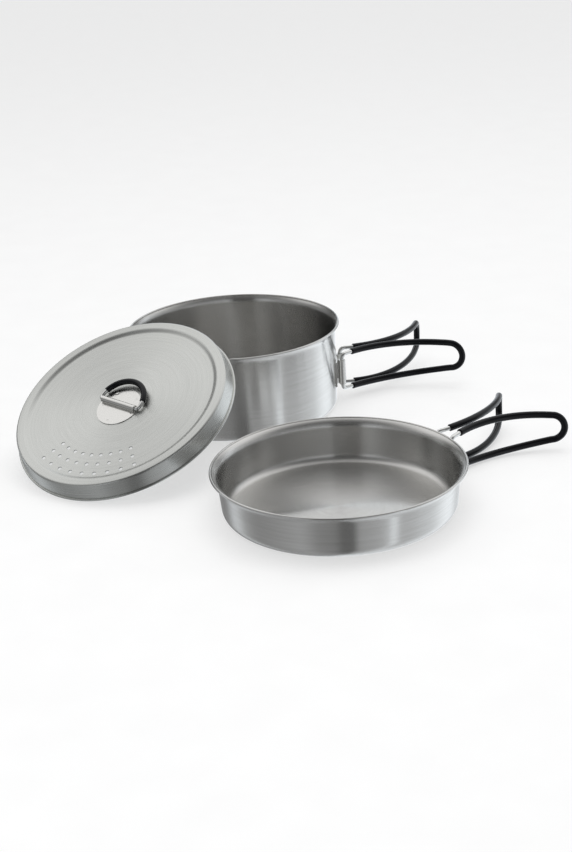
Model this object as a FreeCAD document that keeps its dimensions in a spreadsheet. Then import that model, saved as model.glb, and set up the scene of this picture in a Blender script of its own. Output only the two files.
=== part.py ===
import FreeCAD, Part
import math
import os

import Sketcher
from FreeCAD import Placement, Rotation, Vector

# Camping cook pot set: a deep pot, a shallow pan standing beside it and a strainer lid
# leaning on the pot's rim. Millimetres, +Z up. The origin is the centre of the pot's base,
# which stands on Z = 0, and the pot's folding handle points along +X.

# Driving dimensions of each vessel: a deep-drawn shell, its bracket and its two wire loops.
# Angles are in degrees. "near" is the loop on the -Y side of the handle, "far" the +Y side.
VESSELS = {
    "pot": {
        "height": 74.2, "rim_radius": 90.0, "wall_radius": 86.4, "foot_radius": 85.6,
        "corner_radius": 7.0, "flare_height": 7.0, "floor_step_radius": 60.0,
        "centre_x": 0.0, "centre_y": 0.0, "handle_azimuth": 3.1,
        "hinge_radius": 90.6, "hinge_spread": 8.8, "loop_length": 115.5,
        "near_open": -44.7, "far_open": 6.8,
        "top_root": 43.0, "top_tip": 39.5, "top_bow": 0.0,
        "low_root": 12.0, "low_tip": 16.7, "low_bow": 3.2,
    },
    "pan": {
        "height": 35.0, "rim_radius": 94.1, "wall_radius": 88.4, "foot_radius": 86.6,
        "corner_radius": 8.0, "flare_height": 8.0, "floor_step_radius": 64.0,
        "centre_x": 76.1, "centre_y": -221.3, "handle_azimuth": 32.5,
        "hinge_radius": 98.0, "hinge_spread": 8.8, "loop_length": 105.9,
        "near_open": -20.8, "far_open": -9.9,
        "top_root": 31.0, "top_tip": 29.6, "top_bow": 1.9,
        "low_root": 5.6, "low_tip": 9.0, "low_bow": 3.5,
    },
}

# Sizes that both vessels share: sheet, rolled lip, wire, sleeve tube and bracket.
SHARED = {
    "sheet": 0.8, "lip_radius": 0.95, "floor_step": 0.4,
    "wire_radius": 1.75, "sleeve_radius": 2.75, "sleeve_bore": 1.8,
    "bend_radius": 4.0, "pin_length": 6.0, "bare_length": 12.0,
    "bracket_sheet": 1.0, "bracket_width": 32.0, "knuckle_radius": 2.9, "knuckle_bore": 1.82,
    "knuckle_gap": 0.6, "guide_offset": 6.0, "spare": 2.0,
}

# The strainer lid: a flanged disc with a rolled bead, a recessed panel and rows of holes,
# and a D ring that hinges in a barrel across a round plate.
LID = {
    "bead_outer": 91.5, "bead_radius": 0.9, "top_radius": 88.2, "height": 13.4,
    "edge_radius": 1.6, "lid_sheet": 0.6, "panel_radius": 78.6, "panel_level": 11.6,
    "step_width": 1.6, "hole_radius": 1.4, "hole_count": 9.0, "hole_pitch": 8.43,
    "hole_start": -24.7, "row_inner": 55.6, "row_pitch": 9.3,
    "plate_radius": 18.6, "plate_sheet": 0.6, "plate_x": 5.2, "plate_y": 2.0,
    "plate_turn": -5.6, "barrel_offset": -1.5, "barrel_radius": 2.6, "barrel_level": 2.4,
    "barrel_half": 17.4, "barrel_bore": 1.6, "dimple_ring": 15.2, "dimple_radius": 1.2,
    "ring_wire": 1.5, "ring_sleeve": 2.35, "ring_bore": 1.56, "ring_bend": 2.3,
    "ring_gap": 0.35, "ring_pin": 8.0, "ring_raise": 5.5, "ring_bare": 16.0,
    "lean": 27.17, "lean_azimuth": 235.0, "lid_x": -85.8, "lid_y": -110.5, "lid_lift": 0.05,
}

# Weld dimples round the ring's plate, and the points that shape each wire loop's curve.
DIMPLE_AZIMUTHS = (-80, 2, 84, 139, -137)
PIN_POINTS = 5
BEND_POINTS = 4
BAR_POINTS = 8
END_STEP = 15

doc = FreeCAD.newDocument("CookSet")
sheet = doc.addObject("Spreadsheet::Sheet", "Sizes")


def fill_sheet():
    """Write every driving dimension into the sheet, one aliased cell each."""
    rows = [(f"{vessel}_{key}", value) for vessel, sizes in VESSELS.items()
            for key, value in sizes.items()]
    rows += list(SHARED.items()) + list(LID.items())
    for row, (alias, value) in enumerate(rows, start=1):
        sheet.set(f"A{row}", alias)
        sheet.set(f"B{row}", str(value))
        sheet.setAlias(f"B{row}", alias)
    doc.recompute()


def size(alias):
    """Read one driving dimension back from the sheet."""
    return float(sheet.get(alias))


def bind(obj, **expressions):
    """Bind properties of an object to expressions on the sheet's aliases."""
    for name, expression in expressions.items():
        obj.setExpression(name.replace("__", "."), expression)
    return obj


# --- profiles turned about the Z axis -------------------------------------------------------

def origin_feature(body, role):
    """Return a body's own origin plane or axis by its role."""
    return next(item for item in body.Origin.OriginFeatures if item.Role == role)


def turned_profile(body, name, corners, arcs):
    """Sketch a closed (radius, height) outline on XZ and revolve it about Z.

    corners holds pairs of expressions; arcs maps the index of a segment's first corner to the
    expression of its radius and whether the arc runs counter-clockwise.
    """
    sketch = body.newObject("Sketcher::SketchObject", name + "_outline")
    sketch.AttachmentSupport = [(origin_feature(body, "XZ_Plane"), "")]
    sketch.MapMode = "FlatFace"
    points = [Vector(evaluate(across), evaluate(up), 0) for across, up in corners]
    count = len(points)
    for index, start in enumerate(points):
        end = points[(index + 1) % count]
        if index in arcs:
            radius, left = arcs[index]
            sketch.addGeometry(arc_between(start, end, evaluate(radius), left))
        else:
            sketch.addGeometry(Part.LineSegment(start, end))
    for index in range(count):
        after = (index + 1) % count
        end_point = 2
        start_point = 1
        if index in arcs and not arcs[index][1]:
            end_point = 1
        if after in arcs and not arcs[after][1]:
            start_point = 2
        sketch.addConstraint(Sketcher.Constraint("Coincident", index, end_point, after, start_point))
    for index, (across, up) in enumerate(corners):
        start_point = 2 if index in arcs and not arcs[index][1] else 1
        for kind, expression, value in (("DistanceX", across, points[index].x),
                                        ("DistanceY", up, points[index].y)):
            number = sketch.addConstraint(
                Sketcher.Constraint(kind, -1, 1, index, start_point, value))
            sketch.setExpression(f"Constraints[{number}]", expression)
    for index, (radius, _) in arcs.items():
        number = sketch.addConstraint(Sketcher.Constraint("Radius", index, evaluate(radius)))
        sketch.setExpression(f"Constraints[{number}]", radius)
    turned = body.newObject("PartDesign::Revolution", name)
    turned.Profile = sketch
    turned.ReferenceAxis = (origin_feature(body, "Z_Axis"), "")
    turned.Angle = 360.0
    return turned


def evaluate(expression):
    """Work out an expression on the sheet's aliases as a plain number."""
    value = sheet.evalExpression(expression.replace("Sizes.", ""))
    return float(getattr(value, "Value", value))


def arc_between(start, end, radius, left):
    """Return the arc of a radius from start to end, its centre left of the chord or right."""
    chord = end - start
    middle = (start + end) * 0.5
    rise = math.sqrt(max(radius ** 2 - (chord.Length / 2) ** 2, 0))
    normal = Vector(-chord.y, chord.x, 0).normalize()
    centre = middle + normal * (rise if left else -rise)
    first, last = (start, end) if left else (end, start)
    first_angle = math.atan2(first.y - centre.y, first.x - centre.x)
    last_angle = math.atan2(last.y - centre.y, last.x - centre.x)
    if last_angle < first_angle:
        last_angle += 2 * math.pi
    return Part.ArcOfCircle(Part.Circle(centre, Vector(0, 0, 1), radius), first_angle, last_angle)


def turned_bead(body, name, radius, centre_r, centre_z):
    """Add a rolled edge: a circle section revolved about Z."""
    sketch = body.newObject("Sketcher::SketchObject", name + "_section")
    sketch.AttachmentSupport = [(origin_feature(body, "XZ_Plane"), "")]
    sketch.MapMode = "FlatFace"
    centre = Vector(evaluate(centre_r), evaluate(centre_z), 0)
    sketch.addGeometry(Part.Circle(centre, Vector(0, 0, 1), evaluate(radius)))
    for kind, expression, value in (("DistanceX", centre_r, centre.x),
                                    ("DistanceY", centre_z, centre.y)):
        number = sketch.addConstraint(Sketcher.Constraint(kind, -1, 1, 0, 3, value))
        sketch.setExpression(f"Constraints[{number}]", expression)
    number = sketch.addConstraint(Sketcher.Constraint("Radius", 0, evaluate(radius)))
    sketch.setExpression(f"Constraints[{number}]", radius)
    bead = body.newObject("PartDesign::Revolution", name)
    bead.Profile = sketch
    bead.ReferenceAxis = (origin_feature(body, "Z_Axis"), "")
    bead.Angle = 360.0
    return bead


# --- vessels ---------------------------------------------------------------------------------

def vessel_shell(vessel):
    """Make one deep-drawn shell: flat base, stepped floor, flared wall and rolled lip."""
    body = doc.addObject("PartDesign::Body", vessel + "_shell_body")
    body.Label = vessel + "_shell"
    own = "Sizes." + vessel + "_"
    wall, foot, corner = own + "wall_radius", own + "foot_radius", own + "corner_radius"
    skin = "Sizes.sheet"
    lip_r = f"({own}rim_radius - Sizes.lip_radius + {skin} / 2)"
    lip_z = f"({own}height - Sizes.lip_radius)"
    flare_z = f"({own}height - {own}flare_height)"
    run = f"({lip_r} - {wall})"
    rise = f"({lip_z} - {flare_z})"
    flare = f"(({run} ^ 2 + {rise} ^ 2) / (2 * {run}))"
    step_r = own + "floor_step_radius"
    floor = f"({skin} + Sizes.floor_step)"
    corners = [
        ("0", "0"),
        (f"{foot} - {corner}", "0"),
        (foot, corner),
        (wall, flare_z),
        (lip_r, lip_z),
        (f"{lip_r} - {skin}", lip_z),
        (f"{wall} - {skin}", flare_z),
        (f"{foot} - {skin}", corner),
        (f"{foot} - {corner}", skin),
        (f"{step_r} + 1", skin),
        (step_r, floor),
        ("0", floor),
    ]
    arcs = {1: (corner, True), 3: (flare, False), 5: (flare, True),
            7: (f"{corner} - {skin}", False)}
    turned_profile(body, vessel + "_drawn", corners, arcs)
    turned_bead(body, vessel + "_lip", "Sizes.lip_radius", f"{lip_r} - {skin} / 2", lip_z)
    bind(body, Placement__Base__x=own + "centre_x", Placement__Base__y=own + "centre_y")
    return body


def primitive(kind, name, **expressions):
    """Add a Part primitive whose properties are bound to the sheet."""
    return bind(doc.addObject("Part::" + kind, name), **expressions)


def joined(name, pieces):
    """Fuse several objects into one."""
    fuse = doc.addObject("Part::MultiFuse", name)
    fuse.Shapes = pieces
    fuse.Refine = True
    return fuse


def cut(name, base, tool):
    """Cut one object from another."""
    result = doc.addObject("Part::Cut", name)
    result.Base = base
    result.Tool = tool
    return result


def vessel_placement(vessel):
    """Return the placement that turns a handle to its azimuth and moves it to its vessel."""
    centre = Vector(size(vessel + "_centre_x"), size(vessel + "_centre_y"), 0)
    return Placement(centre, Rotation(Vector(0, 0, 1), size(vessel + "_handle_azimuth")))


def wall_cone(vessel, name, skin):
    """Add the solid cone of a vessel's straight wall, thicker by a skin."""
    own = "Sizes." + vessel + "_"
    return primitive("Cone", name, Radius1=f"{own}foot_radius + {skin}",
                     Radius2=f"{own}wall_radius + {skin}",
                     Height=f"{own}height - {own}flare_height - {own}corner_radius",
                     Placement__Base__z=own + "corner_radius")


def vessel_bracket(vessel):
    """Make the spot-welded bracket: a curved plate, two ears and two knuckle tubes."""
    own = "Sizes." + vessel + "_"
    name = vessel + "_bracket"
    low = f"({own}low_root + Sizes.bend_radius + Sizes.knuckle_gap)"
    tall = f"({own}top_root - {own}low_root - 2 * Sizes.bend_radius - 2 * Sizes.knuckle_gap)"
    plate_block = primitive("Box", name + "_block", Length="Sizes.bracket_width",
                            Width="Sizes.bracket_width", Height=tall,
                            Placement__Base__x=own + "wall_radius - Sizes.bracket_width / 2",
                            Placement__Base__y="-Sizes.bracket_width / 2",
                            Placement__Base__z=low)
    plate_round = wall_cone(vessel, name + "_round", "Sizes.bracket_sheet")
    plate = doc.addObject("Part::Common", name + "_plate")
    plate.Base = plate_block
    plate.Tool = plate_round
    solids = [plate]
    bores = []
    for side, sign in (("near", "-1"), ("far", "1")):
        hinge_y = f"({sign} * {own}hinge_spread)"
        solids.append(primitive(
            "Box", f"{name}_{side}_ear", Length=f"{own}hinge_radius - {own}wall_radius + Sizes.spare",
            Width="Sizes.bracket_sheet", Height=tall,
            Placement__Base__x=f"{own}wall_radius - Sizes.spare",
            Placement__Base__y=f"{hinge_y} - ({sign} * (Sizes.knuckle_radius"
                               " - Sizes.bracket_sheet / 2)) - Sizes.bracket_sheet / 2",
            Placement__Base__z=low))
        for label, radius, into, rise in (("knuckle", "Sizes.knuckle_radius", solids, "0"),
                                          ("bore", "Sizes.knuckle_bore", bores,
                                           "Sizes.spare")):
            into.append(primitive(
                "Cylinder", f"{name}_{side}_{label}", Radius=radius,
                Height=f"{tall} + {rise}", Placement__Base__x=own + "hinge_radius",
                Placement__Base__y=hinge_y, Placement__Base__z=f"{low} - {rise} / 2"))
    bores.append(wall_cone(vessel, name + "_wall", "0"))
    bracket = cut(name + "_made", joined(name + "_solids", solids), joined(name + "_bores", bores))
    bracket.Label = name
    bracket.Placement = vessel_placement(vessel)
    return bracket


def loop_route(vessel, side):
    """Return the points of one wire loop's centre line, its cylinder's axis and the sleeve's ends.

    The loop lies on an upright cylinder as curved as the wall. Its upper bar leaves the hinge,
    runs to a round end and comes back as the lower bar; both ends bend into the knuckle.
    """
    own = vessel + "_"
    sign = -1 if side == "near" else 1
    opened = math.radians(size(own + side + "_open"))
    bend = size("bend_radius")
    curve = size(own + "hinge_radius")
    hinge = Vector(curve, sign * size(own + "hinge_spread"), 0)
    along = Vector(math.cos(opened), sign * math.sin(opened), 0)
    inward = Vector(-math.sin(opened), sign * math.cos(opened), 0)
    end_radius = (size(own + "top_tip") - size(own + "low_tip")) / 2
    end_level = (size(own + "top_tip") + size(own + "low_tip")) / 2
    straight = size(own + "loop_length") - end_radius
    bare = size("bare_length")

    def plan(run, height):
        turn = run / curve
        point = hinge + along * (curve * math.sin(turn)) + inward * (curve * (1 - math.cos(turn)))
        return Vector(point.x, point.y, height)

    def bar(which, up):
        """One bar from the pin's end, round the bend and out to the start of the round end."""
        root, tip = size(f"{own}{which}_root"), size(f"{own}{which}_tip")
        bow = size(f"{own}{which}_bow") * up
        pin = [plan(0, root - up * (bend + size("pin_length") * step / PIN_POINTS))
               for step in range(PIN_POINTS, 0, -1)]
        turned = [plan(bend * (1 - math.cos(angle)), root - up * bend * (1 - math.sin(angle)))
                  for angle in (math.pi / 2 * step / BEND_POINTS for step in range(BEND_POINTS))]
        runs = [bend, (bend + bare) / 2]
        runs += [bare + (straight - bare) * step / BAR_POINTS for step in range(BAR_POINTS + 1)]
        shares = [(run - bend) / (straight - bend) for run in runs]
        level = [plan(run, root + (tip - root) * share + bow * 4 * share * (1 - share))
                 for run, share in zip(runs, shares)]
        return pin + turned + level, len(pin) + len(turned) + 2

    upper, sleeve_start = bar("top", 1)
    lower, _ = bar("low", -1)
    end = [plan(straight + end_radius * math.cos(math.radians(angle)),
                end_level + end_radius * math.sin(math.radians(angle)))
           for angle in range(90 - END_STEP, -90, -END_STEP)]
    route = upper + end + lower[::-1]
    return route, hinge + inward * curve, (sleeve_start, len(route) - 1 - sleeve_start)


def interpolated(points):
    """Return the smooth curve through a list of points."""
    curve = Part.BSplineCurve()
    curve.interpolate(Points=points)
    return curve


def guided_skin(edge, guide, radius):
    """Sweep a circle along an edge, held upright by a guide edge beside it."""
    start = edge.FirstParameter
    circle = Part.Wire([Part.makeCircle(radius, edge.valueAt(start), edge.tangentAt(start))])
    pipe = Part.BRepOffsetAPI.MakePipeShell(Part.Wire([edge]))
    pipe.setAuxiliarySpine(Part.Wire([guide]), True, 0)
    pipe.add(circle)
    pipe.build()
    return pipe


def closed_solid(faces):
    """Sew faces into one solid that faces outward."""
    shell = Part.makeShell(faces)
    shell.sewShape()
    solid = Part.makeSolid(shell)
    if solid.Volume < 0:
        solid.reverse()
    return solid


def solid_tube(edge, guide, outer, bore=0.0):
    """Return a round rod along an edge, or a tube where a bore radius is given."""
    skins = [guided_skin(edge, guide, radius) for radius in (outer, bore) if radius]
    faces = [face for skin in skins for face in skin.shape().Faces]
    for end in ("firstShape", "lastShape"):
        discs = [Part.Face(Part.Wire(getattr(skin, end)().Edges)) for skin in skins]
        faces += discs[0].cut(discs[1]).Faces if bore else discs
    return closed_solid(faces)


def swept(name, edge, radius):
    """Sweep a circle of a bound radius along an edge that is already in the document."""
    start = edge.Shape.Edges[0]
    begin = start.FirstParameter
    section = bind(doc.addObject("Part::Circle", name + "_section"), Radius=radius)
    section.Placement = Placement(start.valueAt(begin),
                                  Rotation(Vector(0, 0, 1), start.tangentAt(begin)))
    sweep = doc.addObject("Part::Sweep", name + "_sweep")
    sweep.Sections = [section]
    sweep.Spine = (edge, ["Edge" + str(number + 1) for number in range(len(edge.Shape.Edges))])
    sweep.Solid = True
    sweep.Frenet = False
    return sweep


def route_object(name, shape):
    """Keep a centre line in the document."""
    route = doc.addObject("Part::Feature", name)
    route.Shape = shape
    return route


def vessel_loop(vessel, side):
    """Make one wire loop and the sleeve tube that covers most of it."""
    name = f"{vessel}_handle_{side}"
    points, axis, (sleeve_start, sleeve_end) = loop_route(vessel, side)
    beside = [point + (Vector(axis.x, axis.y, point.z) - point).normalize() * size("guide_offset")
              for point in points]
    route, guide = interpolated(points), interpolated(beside)
    covered, covered_guide = (
        curve.toShape(curve.parameter(places[sleeve_start]), curve.parameter(places[sleeve_end]))
        for curve, places in ((route, points), (guide, beside)))
    shapes = {
        "wire": solid_tube(route.toShape(), guide.toShape(), size("wire_radius")),
        "sleeve": solid_tube(covered, covered_guide, size("sleeve_radius"), size("sleeve_bore")),
    }
    pieces = []
    for kind, shape in shapes.items():
        piece = doc.addObject("Part::Feature", f"{name}_{kind}_made")
        piece.Shape = shape
        piece.Label = f"{name}_{kind}"
        piece.Placement = vessel_placement(vessel)
        pieces.append(piece)
    return pieces


# --- lid -------------------------------------------------------------------------------------

def lid_placement():
    """Return the placement of the leaning lid: X points down its slope, Z out of its top."""
    lean = math.radians(size("lean"))
    azimuth = math.radians(size("lean_azimuth"))
    level = Vector(math.cos(azimuth), math.sin(azimuth), 0)
    normal = level * math.sin(lean) + Vector(0, 0, math.cos(lean))
    downhill = level * math.cos(lean) - Vector(0, 0, math.sin(lean))
    across = normal.cross(downhill)
    reach = size("bead_outer") - size("bead_radius")
    rise = reach * math.sin(lean) + size("bead_radius") + size("lid_lift")
    centre = Vector(size("lid_x"), size("lid_y"), rise)
    return Placement(centre, Rotation(downhill, across, normal, "ZXY"))


def ring_placement():
    """Return the placement of the ring's plate on the lid's panel."""
    on_panel = Vector(size("plate_x"), size("plate_y"), size("panel_level"))
    turned = Placement(on_panel, Rotation(Vector(0, 0, 1), size("plate_turn")))
    return lid_placement().multiply(turned)


def lid_disc():
    """Make the lid: recessed panel, raised band, flared skirt with a bead, strainer holes."""
    body = doc.addObject("PartDesign::Body", "lid_disc_body")
    body.Label = "lid_disc"
    skin = "Sizes.lid_sheet"
    bead_r = "(Sizes.bead_outer - Sizes.bead_radius)"
    edge, top, tall = "Sizes.edge_radius", "Sizes.top_radius", "Sizes.height"
    panel, level, step = "Sizes.panel_radius", "Sizes.panel_level", "Sizes.step_width"
    corners = [
        ("0", f"{level} - {skin}"),
        (f"{panel} + {skin}", f"{level} - {skin}"),
        (f"{panel} + {step} + {skin}", f"{tall} - {skin}"),
        (f"{top} - {edge}", f"{tall} - {skin}"),
        (f"{top} - {skin}", f"{tall} - {edge}"),
        (f"{bead_r} - {skin} / 2", "0"),
        (f"{bead_r} + {skin} / 2", "0"),
        (top, f"{tall} - {edge}"),
        (f"{top} - {edge}", tall),
        (f"{panel} + {step}", tall),
        (panel, level),
        ("0", level),
    ]
    arcs = {3: (f"{edge} - {skin}", False), 7: (edge, True)}
    turned_profile(body, "lid_pressed", corners, arcs)
    turned_bead(body, "lid_bead", "Sizes.bead_radius", bead_r, "0")
    sketch = body.newObject("Sketcher::SketchObject", "strainer_column")
    sketch.AttachmentSupport = [(origin_feature(body, "XY_Plane"), "")]
    sketch.MapMode = "FlatFace"
    for row in range(3):
        reach = f"(Sizes.row_inner + {row} * Sizes.row_pitch)"
        across = f"{reach} * cos(Sizes.hole_start)"
        aside = f"{reach} * sin(Sizes.hole_start)"
        centre = Vector(evaluate(across), evaluate(aside), 0)
        sketch.addGeometry(Part.Circle(centre, Vector(0, 0, 1), size("hole_radius")))
        for kind, expression, value in (("DistanceX", across, centre.x),
                                        ("DistanceY", aside, centre.y)):
            number = sketch.addConstraint(Sketcher.Constraint(kind, -1, 1, row, 3, value))
            sketch.setExpression(f"Constraints[{number}]", expression)
        number = sketch.addConstraint(Sketcher.Constraint("Radius", row, size("hole_radius")))
        sketch.setExpression(f"Constraints[{number}]", "Sizes.hole_radius")
    holes = body.newObject("PartDesign::Pocket", "strainer_holes")
    holes.Profile = sketch
    holes.Type = "Length"
    holes.Reversed = True
    holes.setExpression("Length", "Sizes.height + Sizes.spare")
    doc.recompute()
    rows = body.newObject("PartDesign::PolarPattern", "strainer_rows")
    rows.Originals = [holes]
    rows.Axis = (origin_feature(body, "Z_Axis"), "")
    rows.setExpression("Angle", "Sizes.hole_pitch * (Sizes.hole_count - 1)")
    rows.setExpression("Occurrences", "Sizes.hole_count")
    body.Tip = rows
    body.Placement = lid_placement()
    return body


def lid_ring_bracket():
    """Make the ring's round plate with its barrel, spot-welded to the panel by dimples."""
    name = "lid_ring_bracket"
    plate = primitive("Cylinder", name + "_plate", Radius="Sizes.plate_radius",
                      Height="Sizes.plate_sheet")
    barrel = primitive("Cylinder", name + "_barrel", Radius="Sizes.barrel_radius",
                       Height="2 * Sizes.barrel_half", Placement__Base__x="Sizes.barrel_offset",
                       Placement__Base__y="-Sizes.barrel_half",
                       Placement__Base__z="Sizes.barrel_level")
    barrel.Placement.Rotation = Rotation(Vector(1, 0, 0), -90)
    bore = primitive("Cylinder", name + "_bore", Radius="Sizes.barrel_bore",
                     Height="2 * Sizes.barrel_half + 2 * Sizes.spare",
                     Placement__Base__x="Sizes.barrel_offset",
                     Placement__Base__y="-Sizes.barrel_half - Sizes.spare",
                     Placement__Base__z="Sizes.barrel_level")
    bore.Placement.Rotation = Rotation(Vector(1, 0, 0), -90)
    tools = [bore]
    for number, azimuth in enumerate(DIMPLE_AZIMUTHS):
        tools.append(primitive(
            "Sphere", f"{name}_dimple_{number}", Radius="2 * Sizes.dimple_radius",
            Placement__Base__x=f"Sizes.dimple_ring * cos({azimuth})",
            Placement__Base__y=f"Sizes.dimple_ring * sin({azimuth})",
            Placement__Base__z="Sizes.plate_sheet + 1.75 * Sizes.dimple_radius"))
    below = primitive("Box", name + "_below", Length="4 * Sizes.plate_radius",
                      Width="4 * Sizes.plate_radius", Height="Sizes.barrel_radius",
                      Placement__Base__x="-2 * Sizes.plate_radius",
                      Placement__Base__y="-2 * Sizes.plate_radius",
                      Placement__Base__z="-Sizes.barrel_radius")
    tools.append(below)
    bracket = cut(name + "_made", joined(name + "_solids", [plate, barrel]),
                  joined(name + "_tools", tools))
    bracket.Label = name
    bracket.Placement = ring_placement()
    return bracket


def ring_route():
    """Return the ring's whole centre line and the part of it that the sleeve covers."""
    half = size("barrel_half") + size("ring_gap") + size("ring_bend")
    bend = size("ring_bend")
    pin_end = size("barrel_half") - size("ring_pin")
    corner = half - bend
    slant = bend * math.sqrt(0.5)
    edges = []
    for sign in (-1, 1):
        pin = Part.LineSegment(Vector(0, sign * pin_end, 0), Vector(0, sign * corner, 0))
        middle = Vector(-bend + slant, sign * (corner + slant), 0)
        turn = Part.Arc(Vector(0, sign * corner, 0), middle, Vector(-bend, sign * half, 0))
        edges.append([pin.toShape(), turn.toShape()])
    bare = math.radians(size("ring_bare"))

    def on_bow(angle):
        return Vector(-bend - half * math.sin(angle), -half * math.cos(angle), 0)

    bow = Part.Arc(on_bow(0), on_bow(math.pi / 2), on_bow(math.pi)).toShape()
    covered = Part.Arc(on_bow(bare), on_bow(math.pi / 2), on_bow(math.pi - bare)).toShape()
    whole = Part.Wire(edges[0] + [bow] + edges[1][::-1])
    return whole, Part.Wire([covered])


def ring_hinge_placement():
    """Return the placement of the ring's own hinge frame, raised off the panel."""
    barrel = Vector(size("barrel_offset"), 0, size("barrel_level"))
    raised = Placement(barrel, Rotation(Vector(0, 1, 0), size("ring_raise")))
    return ring_placement().multiply(raised)


def lid_ring():
    """Make the D ring's wire and its sleeve tube."""
    whole, covered = ring_route()
    wire = swept("lid_ring_wire_bar", route_object("lid_ring_route", whole), "Sizes.ring_wire")
    wire.Label = "lid_ring_wire"
    covered_route = route_object("lid_ring_covered", covered)
    skin = swept("lid_ring_skin", covered_route, "Sizes.ring_sleeve")
    bore = swept("lid_ring_hollow", covered_route, "Sizes.ring_bore")
    sleeve = cut("lid_ring_sleeve_made", skin, bore)
    sleeve.Label = "lid_ring_sleeve"
    for piece in (wire, sleeve):
        piece.Placement = ring_hinge_placement()
    return [wire, sleeve]


# --- the whole set ---------------------------------------------------------------------------

def check_document(nodes):
    """Stop if any object failed to build or any sub-part has no valid shape."""
    for obj in doc.Objects:
        if "Invalid" in obj.State or "Error" in obj.State:
            raise RuntimeError(f"{obj.Name} failed: {obj.State}")
    for node in nodes:
        if node.Shape.isNull() or not node.Shape.isValid() or len(node.Shape.Solids) != 1:
            raise RuntimeError(f"{node.Label} has no single valid solid")


fill_sheet()
parts = []
for vessel_name in VESSELS:
    parts.append(vessel_shell(vessel_name))
    parts.append(vessel_bracket(vessel_name))
    for loop_side in ("near", "far"):
        parts.extend(vessel_loop(vessel_name, loop_side))
parts.append(lid_disc())
parts.append(lid_ring_bracket())
parts.extend(lid_ring())
doc.recompute()
check_document(parts)

os.makedirs("parts", exist_ok=True)
for part in parts:
    part.Shape.exportStep(f"parts/{part.Label}.step")
    print(part.Label, round(part.Shape.Volume, 1), "mm3")
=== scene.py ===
"""Studio scene of a camping cook set: a deep pot, a shallow pan and a strainer lid.

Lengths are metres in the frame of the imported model: the origin is the centre of the pot's flat
base, +Z is up and +X points towards the pot's handle. The lid leans on the pot's rim.
"""

import sys
import logging
import math
from dataclasses import dataclass, field
from enum import Enum
from functools import cached_property

import bmesh
import bpy
from bmesh.types import BMesh
from bpy.types import ID, Material, Node, NodeSocket, NodeTree, Object
from mathutils import Matrix, Vector


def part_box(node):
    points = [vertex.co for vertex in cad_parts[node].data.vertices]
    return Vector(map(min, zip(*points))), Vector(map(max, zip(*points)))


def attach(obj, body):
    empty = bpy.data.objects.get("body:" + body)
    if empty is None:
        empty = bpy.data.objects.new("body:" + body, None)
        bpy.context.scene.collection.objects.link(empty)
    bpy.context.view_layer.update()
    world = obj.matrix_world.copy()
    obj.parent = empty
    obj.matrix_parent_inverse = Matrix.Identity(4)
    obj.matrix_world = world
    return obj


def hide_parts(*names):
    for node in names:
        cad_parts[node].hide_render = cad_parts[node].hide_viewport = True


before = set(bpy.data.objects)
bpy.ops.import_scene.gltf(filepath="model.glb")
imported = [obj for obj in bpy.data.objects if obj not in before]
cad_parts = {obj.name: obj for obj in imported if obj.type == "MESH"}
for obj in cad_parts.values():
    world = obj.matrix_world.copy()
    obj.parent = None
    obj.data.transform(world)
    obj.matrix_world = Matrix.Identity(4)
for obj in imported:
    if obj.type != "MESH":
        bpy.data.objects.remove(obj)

MM = 0.001
SMOOTH_ANGLE = math.radians(32)
WELD = 1e-6
LIP_STEPS = 6
TUBE_LIP = 0.35 * MM
KNUCKLE_LIP = 0.25 * MM
BARREL_LIP = 0.2 * MM
HANDLE_RINGS = 0.8 * MM
LID_WIRE_RINGS = 0.6 * MM
PIN_STEPS = 5
BEND_STEPS = 4
BARE_POINTS = 2
BAR_STEPS = 8
CURVE_STEPS = 8
CORNER_STEPS = 12
FLARE_STEPS = 14
EDGE_STEPS = 10
STRIP_STEPS = 12
KNUCKLE_STEPS = 12
BOW_STEPS = 60
SLEEVE_STEPS = 90
PUNCH_SIDES = 28
PUNCH_DEPTH = 4 * MM
FLARE_DEPTH = 1.2 * MM
FLARE_FOOT = 0.9
FLARE_TOP = 1.75
POLISH_SPAN = (1.12, 0.88)
QUARTER_TURN = 0.25
NOISE_SPAN = {"From Min": 0.3, "From Max": 0.7}
RIM_ROUNDING = 0.12 * MM

log = logging.getLogger("cook_set")


# --- small helpers ---

def linear(colour: str) -> tuple[float, float, float, float]:
    """Turn an sRGB hex colour into linear RGBA.

    Args:
        colour: six hex digits, such as "B9B8B3".

    Returns:
        The colour as linear red, green, blue and an alpha of one.
    """
    parts = [int(colour[at:at + 2], 16) / 255 for at in (0, 2, 4)]
    shades = [v / 12.92 if v <= 0.04045 else ((v + 0.055) / 1.055) ** 2.4 for v in parts]
    return (*shades, 1.0)


def add(tree: NodeTree, kind: str, settings: dict | None = None, links: dict | None = None,
        **attributes: object) -> Node:
    """Add one node with its socket values, links and attributes.

    Args:
        tree: the tree that the node goes in.
        kind: the node's type, such as "ShaderNodeMath".
        settings: socket name or number to value.
        links: socket name or number to the output socket that feeds it.
        attributes: attributes of the node itself, such as operation.

    Returns:
        The new node.
    """
    node = tree.nodes.new(kind)
    for name, value in attributes.items():
        setattr(node, name, value)
    for socket, value in (settings or {}).items():
        node.inputs[socket].default_value = value
    for socket, output in (links or {}).items():
        tree.links.new(output, node.inputs[socket])
    return node


def arc(centre: tuple, radius: float, start: float, end: float, steps: int) -> list[tuple]:
    """Points of a circular arc.

    Args:
        centre: the arc's centre as (across, up).
        radius: its radius.
        start: the first point's angle in degrees.
        end: the last point's angle in degrees.
        steps: how many straight pieces the arc is drawn with.

    Returns:
        The points from start to end, both included.
    """
    angles = (math.radians(start + (end - start) * step / steps) for step in range(steps + 1))
    return [(centre[0] + radius * math.cos(a), centre[1] + radius * math.sin(a)) for a in angles]


def turns(count: int) -> list[float]:
    """The angles of a ring of points, in radians."""
    return [2 * math.pi * side / count for side in range(count)]


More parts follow.
